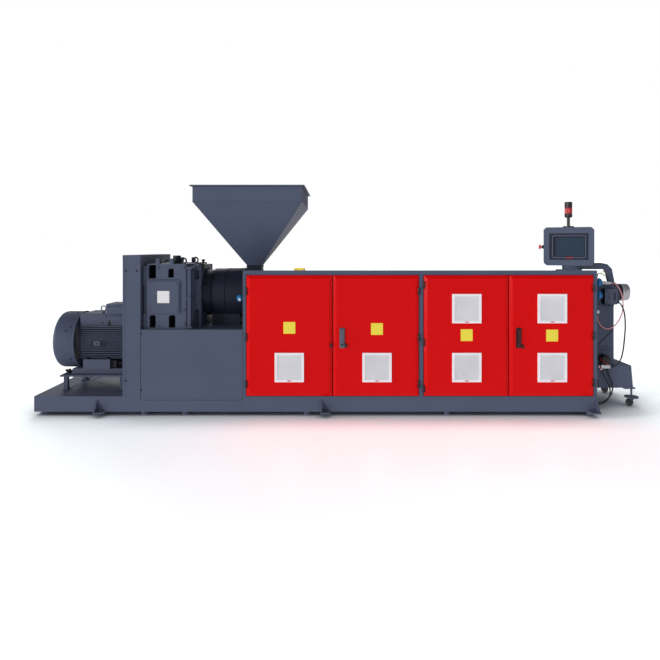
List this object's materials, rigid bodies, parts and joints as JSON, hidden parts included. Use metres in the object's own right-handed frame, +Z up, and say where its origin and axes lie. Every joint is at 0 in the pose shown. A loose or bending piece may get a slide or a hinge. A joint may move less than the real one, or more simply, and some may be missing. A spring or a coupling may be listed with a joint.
{
  "type": "plastic pelletizing machine",
  "caption": "Extruder line for plastic pellets: motor, belt guard, gearbox, feed hopper over a barrel, a low cabinet with hinged doors, operator panel and a wheeled die cart.",
  "frame": {"origin": "on the floor below the middle of the machine's box", "axes": "+X along the machine from the motor to the die, +Y away from the doors, +Z up"},
  "size_m": [5.302, 1.006, 1.96],
  "materials": {
    "base_paint": "satin slate blue paint",
    "machine_paint": "satin slate blue paint on castings",
    "dark_casting": "dark painted casting",
    "bright_steel": "machined steel",
    "black_steel": "black zinc",
    "zinc_plate": "galvanised sheet",
    "door_paint": "glossy red powder coat",
    "grille_plastic": "white moulded plastic",
    "handle_grey": "grey die casting",
    "handle_dark": "dark die casting",
    "screen_glass": "glossy touch screen",
    "stop_red": "glossy red",
    "black_plastic": "black moulded plastic",
    "lamp_red": "translucent red lens",
    "sensor_yellow": "orange yellow moulded plastic",
    "hose_pink": "pink flexible hose",
    "cable_black": "black cable sheath",
    "wheel_rubber": "black rubber"
  },
  "bodies": {
    "machine": {"base_rails": "base_paint", "base_floor": "base_paint", "levelling_feet": "base_paint", "anchor_brackets": "base_paint", "motor_bench": "base_paint", "motor_body": "machine_paint", "motor_fan_cowl": "machine_paint", "motor_terminal_box": "machine_paint", "motor_shaft": "bright_steel", "belt_guard": "base_paint", "pedestal": "base_paint", "gearbox_housing": "machine_paint", "gearbox_covers": "machine_paint", "gearbox_fittings": "dark_casting", "lantern_housing": "dark_casting", "feed_throat": "dark_casting", "barrel": "bright_steel", "hopper_shell": "base_paint", "cabinet_frame": "base_paint", "cabinet_panels": "base_paint", "mounting_boards": "zinc_plate", "hinge_brackets": "black_steel", "operator_neck": "machine_paint", "top_sensor": "sensor_yellow", "die_column": "base_paint", "die_duct": "base_paint", "die_adapter": "dark_casting", "die_head": "bright_steel", "junction_box": "machine_paint", "circulation_pump": "dark_casting", "end_fittings": "bright_steel", "hose_loop": "hose_pink", "cable_side": "cable_black", "cable_low_1": "cable_black", "cable_low_2": "cable_black", "cart_body": "base_paint"},
    "door_1": {"door_1": "door_paint", "grilles_1": "grille_plastic"},
    "door_2": {"door_2": "door_paint", "grilles_2": "grille_plastic", "handle_base_2": "handle_grey"},
    "door_3": {"door_3": "door_paint", "grilles_3": "grille_plastic"},
    "door_4": {"door_4": "door_paint", "grilles_4": "grille_plastic", "handle_base_4": "handle_dark"},
    "handle_2": {"handle_lever_2": "handle_grey"},
    "handle_4": {"handle_lever_4": "handle_dark"},
    "operator_panel": {"operator_housing": "machine_paint", "operator_screen": "screen_glass", "stop_button_collar": "black_plastic", "signal_pole": "black_plastic", "signal_lamp": "lamp_red"},
    "stop_button": {"stop_button_head": "stop_red"},
    "caster_front_right": {"caster_fork_front": "black_steel"},
    "caster_back_right": {"caster_fork_back": "black_steel"},
    "wheel_front_right": {"caster_wheel_front_right": "wheel_rubber"},
    "wheel_back_right": {"caster_wheel_back_right": "wheel_rubber"},
    "wheel_front_left": {"caster_wheel_front_left": "wheel_rubber"},
    "wheel_back_left": {"caster_wheel_back_left": "wheel_rubber"}
  },
  "joints": [
    {"name": "door_1_hinge", "type": "hinge", "parent": "machine", "child": "door_1", "pos_m": [-0.845, -0.435, 0.678], "axis": [0, 0, -1], "range_deg": [0, 110]},
    {"name": "door_2_hinge", "type": "hinge", "parent": "machine", "child": "door_2", "pos_m": [0.619, -0.435, 0.678], "axis": [0, 0, 1], "range_deg": [0, 84]},
    {"name": "door_3_hinge", "type": "hinge", "parent": "machine", "child": "door_3", "pos_m": [0.662, -0.435, 0.678], "axis": [0, 0, -1], "range_deg": [0, 84]},
    {"name": "door_4_hinge", "type": "hinge", "parent": "machine", "child": "door_4", "pos_m": [2.102, -0.435, 0.678], "axis": [0, 0, 1], "range_deg": [0, 110]},
    {"name": "handle_2_lift", "type": "hinge", "parent": "door_2", "child": "handle_2", "pos_m": [-0.032, -0.459, 0.738], "axis": [-1, 0, 0], "range_deg": [0, 40]},
    {"name": "handle_4_lift", "type": "hinge", "parent": "door_4", "child": "handle_4", "pos_m": [1.463, -0.459, 0.738], "axis": [-1, 0, 0], "range_deg": [0, 40]},
    {"name": "operator_panel_swivel", "type": "hinge", "parent": "machine", "child": "operator_panel", "pos_m": [1.912, -0.374, 1.278], "axis": [0, 0, 1], "range_deg": [-30, 50]},
    {"name": "stop_button_press", "type": "slide", "parent": "operator_panel", "child": "stop_button", "axis": [0.9455, -0.3256, 0], "range_m": [0, 0.005]},
    {"name": "caster_front_swivel", "type": "hinge", "parent": "machine", "child": "caster_front_right", "pos_m": [2.59, -0.108, 0.0746], "axis": [0, 0, 1], "continuous": true},
    {"name": "caster_back_swivel", "type": "hinge", "parent": "machine", "child": "caster_back_right", "pos_m": [2.59, 0.368, 0.0746], "axis": [0, 0, 1], "continuous": true},
    {"name": "wheel_front_right_spin", "type": "hinge", "parent": "caster_front_right", "child": "wheel_front_right", "pos_m": [2.572, -0.108, 0.0324], "axis": [0, 1, 0], "continuous": true},
    {"name": "wheel_front_left_spin", "type": "hinge", "parent": "machine", "child": "wheel_front_left", "pos_m": [2.187, -0.108, 0.0324], "axis": [0, 1, 0], "continuous": true},
    {"name": "wheel_back_right_spin", "type": "hinge", "parent": "caster_back_right", "child": "wheel_back_right", "pos_m": [2.572, 0.368, 0.0324], "axis": [0, 1, 0], "continuous": true},
    {"name": "wheel_back_left_spin", "type": "hinge", "parent": "machine", "child": "wheel_back_left", "pos_m": [2.187, 0.368, 0.0324], "axis": [0, 1, 0], "continuous": true}
  ]
}
